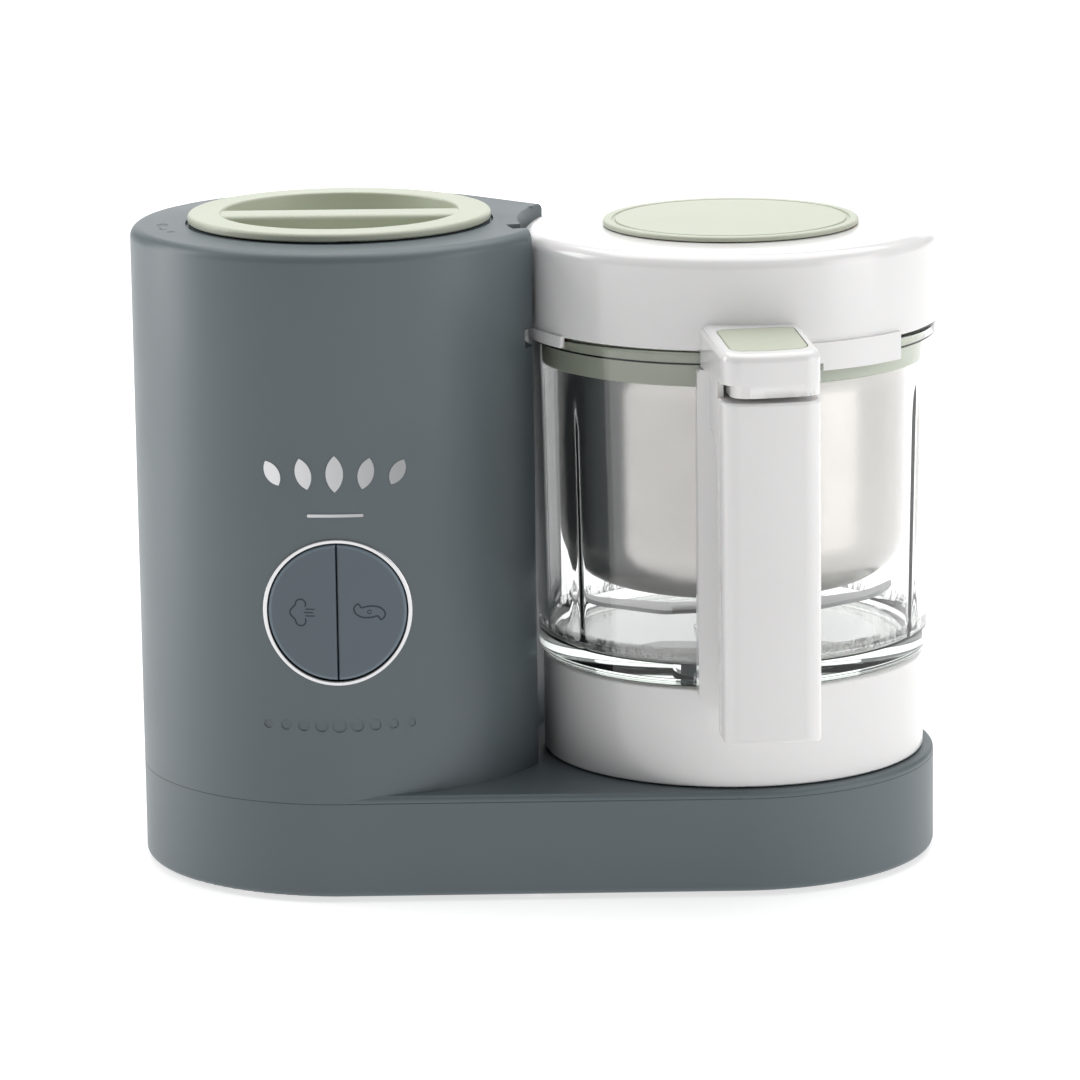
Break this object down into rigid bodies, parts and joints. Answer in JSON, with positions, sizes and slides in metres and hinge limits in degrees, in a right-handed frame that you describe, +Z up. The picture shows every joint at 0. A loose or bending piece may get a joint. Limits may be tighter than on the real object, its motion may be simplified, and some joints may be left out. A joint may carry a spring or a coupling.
{
  "type": "baby food maker",
  "caption": "Countertop baby food maker: a round water tank and motor column and a glass blending jug with steaming basket, handle and lid on one oblong base.",
  "frame": {"origin": "on the table plane under the feet, halfway along the base, on the line joining the column's axis and the jug's axis", "axes": "+X from the water column towards the jug, -Y towards the user (panel and handle), +Z up"},
  "size_m": [0.3225, 0.209, 0.263],
  "materials": {
    "casing_grey": "satin slate-grey moulded casing",
    "button_grey": "satin slate-grey keys",
    "sage_plastic": "sage-green moulded plastic",
    "sage_rubber": "sage-green silicone",
    "white_plastic": "gloss white",
    "liner_plastic": "translucent white liner",
    "bowl_glass": "thick pressed glass",
    "basket_steel": "brushed inside and out",
    "bright_trim": "polished",
    "blade_steel": "ground steel",
    "dark_plastic": "dark glass-filled plastic",
    "shaft_steel": "ground bar",
    "tank_steel": "drawn stainless steel",
    "cast_metal": "die-cast",
    "core_iron": "laminated iron",
    "copper_wire": "enamelled copper winding",
    "bush_bronze": "sintered bronze",
    "board_green": "circuit board",
    "black_rubber": "black rubber",
    "clear_silicone": "pale silicone",
    "collar_plastic": "grey moulded mouth"
  },
  "bodies": {
    "main_unit": {"lower_casing": "casing_grey", "bottom_cover": "dark_plastic", "rubber_feet": "black_rubber", "casing_screws": "shaft_steel", "base_deck": "casing_grey", "column_housing": "casing_grey", "column_top_cover": "casing_grey", "front_trim": "bright_trim", "water_tank": "tank_steel", "tank_gasket": "clear_silicone", "tank_collar": "collar_plastic", "heater_plate": "cast_metal", "thermostats": "cast_metal", "steam_outlet": "clear_silicone", "panel_bezel": "bright_trim", "panel_frame": "dark_plastic", "control_board": "board_green", "chassis_plate": "shaft_steel", "motor_end_frames": "cast_metal", "ball_bearings": "shaft_steel", "motor_stator": "core_iron", "field_coils": "copper_wire", "motor_brushes": "dark_plastic", "drive_belt": "black_rubber", "bearing_housing": "cast_metal", "interlock_switch": "dark_plastic", "cable_gland": "black_rubber"},
    "cap_ring": {"cap_seal": "clear_silicone"},
    "cap": {"tank_cap": "sage_plastic"},
    "steam_key": {"steam_button": "button_grey"},
    "blend_key": {"blend_button": "button_grey"},
    "drive": {"drive_spindle": "shaft_steel", "driven_pulley": "dark_plastic", "drive_dog": "dark_plastic"},
    "armature": {"motor_shaft": "shaft_steel", "rotor": "core_iron", "cooling_fan": "dark_plastic", "motor_pulley": "dark_plastic"},
    "interlock_pin": {"interlock_plunger": "dark_plastic"},
    "jug_foot": {"jug_base": "white_plastic", "jug_gasket": "clear_silicone", "blade_carrier": "dark_plastic", "carrier_bush": "bush_bronze"},
    "blade": {"blade_shaft": "blade_steel", "jug_coupling": "dark_plastic", "blade_hub": "dark_plastic", "blade_knife": "blade_steel"},
    "jug": {"glass_bowl": "bowl_glass", "handle_bracket": "white_plastic", "handle_grip": "white_plastic", "grip_cover": "white_plastic", "grip_screws": "shaft_steel"},
    "basket": {"steam_basket": "basket_steel", "basket_rim": "sage_rubber"},
    "lid_ring": {"lid_seal": "sage_rubber"},
    "lid": {"lid_shell": "white_plastic", "lid_liner": "liner_plastic", "lid_lever": "white_plastic"},
    "plug": {"lid_plug": "sage_plastic"},
    "latch": {"latch_button": "sage_plastic"}
  },
  "joints": [
    {"name": "cap_lift", "type": "slide", "parent": "main_unit", "child": "cap_ring", "axis": [0, 0, 1], "range_m": [0, 0.06]},
    {"name": "cap_turn", "type": "hinge", "parent": "cap_ring", "child": "cap", "pos_m": [-0.07675, 0, 0], "axis": [0, 0, 1], "range_deg": [-60, 0]},
    {"name": "steam_press", "type": "slide", "parent": "main_unit", "child": "steam_key", "axis": [0, 1, 0], "range_m": [0, 0.0012], "stiffness_N_per_m": 800, "springref_m": -0.001},
    {"name": "blend_press", "type": "slide", "parent": "main_unit", "child": "blend_key", "axis": [0, 1, 0], "range_m": [0, 0.0012], "stiffness_N_per_m": 800, "springref_m": -0.001},
    {"name": "drive_spin", "type": "hinge", "parent": "main_unit", "child": "drive", "pos_m": [0.07925, 0, 0], "axis": [0, 0, 1], "continuous": true},
    {"name": "armature_spin", "type": "hinge", "parent": "main_unit", "child": "armature", "pos_m": [-0.07675, 0, 0], "axis": [0, 0, 1], "continuous": true},
    {"name": "jug_lift", "type": "slide", "parent": "main_unit", "child": "jug_foot", "axis": [0, 0, 1], "range_m": [0, 0.22]},
    {"name": "blade_spin", "type": "hinge", "parent": "jug_foot", "child": "blade", "pos_m": [0.07925, 0, 0], "axis": [0, 0, 1], "continuous": true},
    {"name": "jug_turn", "type": "hinge", "parent": "jug_foot", "child": "jug", "pos_m": [0.07925, 0, 0], "axis": [0, 0, 1], "range_deg": [0, 30]},
    {"name": "lid_lift", "type": "slide", "parent": "jug", "child": "lid_ring", "axis": [0, 0, 1], "range_m": [0, 0.24]},
    {"name": "basket_lift", "type": "slide", "parent": "jug", "child": "basket", "axis": [0, 0, 1], "range_m": [0, 0.12]},
    {"name": "lid_turn", "type": "hinge", "parent": "lid_ring", "child": "lid", "pos_m": [0.07925, 0, 0], "axis": [0, 0, 1], "range_deg": [0, 25]},
    {"name": "plug_lift", "type": "slide", "parent": "lid", "child": "plug", "axis": [0, 0, 1], "range_m": [0, 0.04]},
    {"name": "latch_press", "type": "slide", "parent": "lid", "child": "latch", "axis": [0, 0, -1], "range_m": [0, 0.0025], "stiffness_N_per_m": 400, "springref_m": -0.002},
    {"name": "interlock_slide", "type": "slide", "parent": "main_unit", "child": "interlock_pin", "axis": [0.9703, 0.2419, 0], "range_m": [0, 0.0011]}
  ],
  "couplings": [
    {"joint": "blade_spin", "follows": "drive_spin", "ratio": 1},
    {"joint": "armature_spin", "follows": "drive_spin", "ratio": 3.3333},
    {"joint": "basket_lift", "follows": "lid_lift", "ratio": 0.5},
    {"joint": "interlock_slide", "follows": "lid_turn", "m_per_rad": 0.0023}
  ]
}
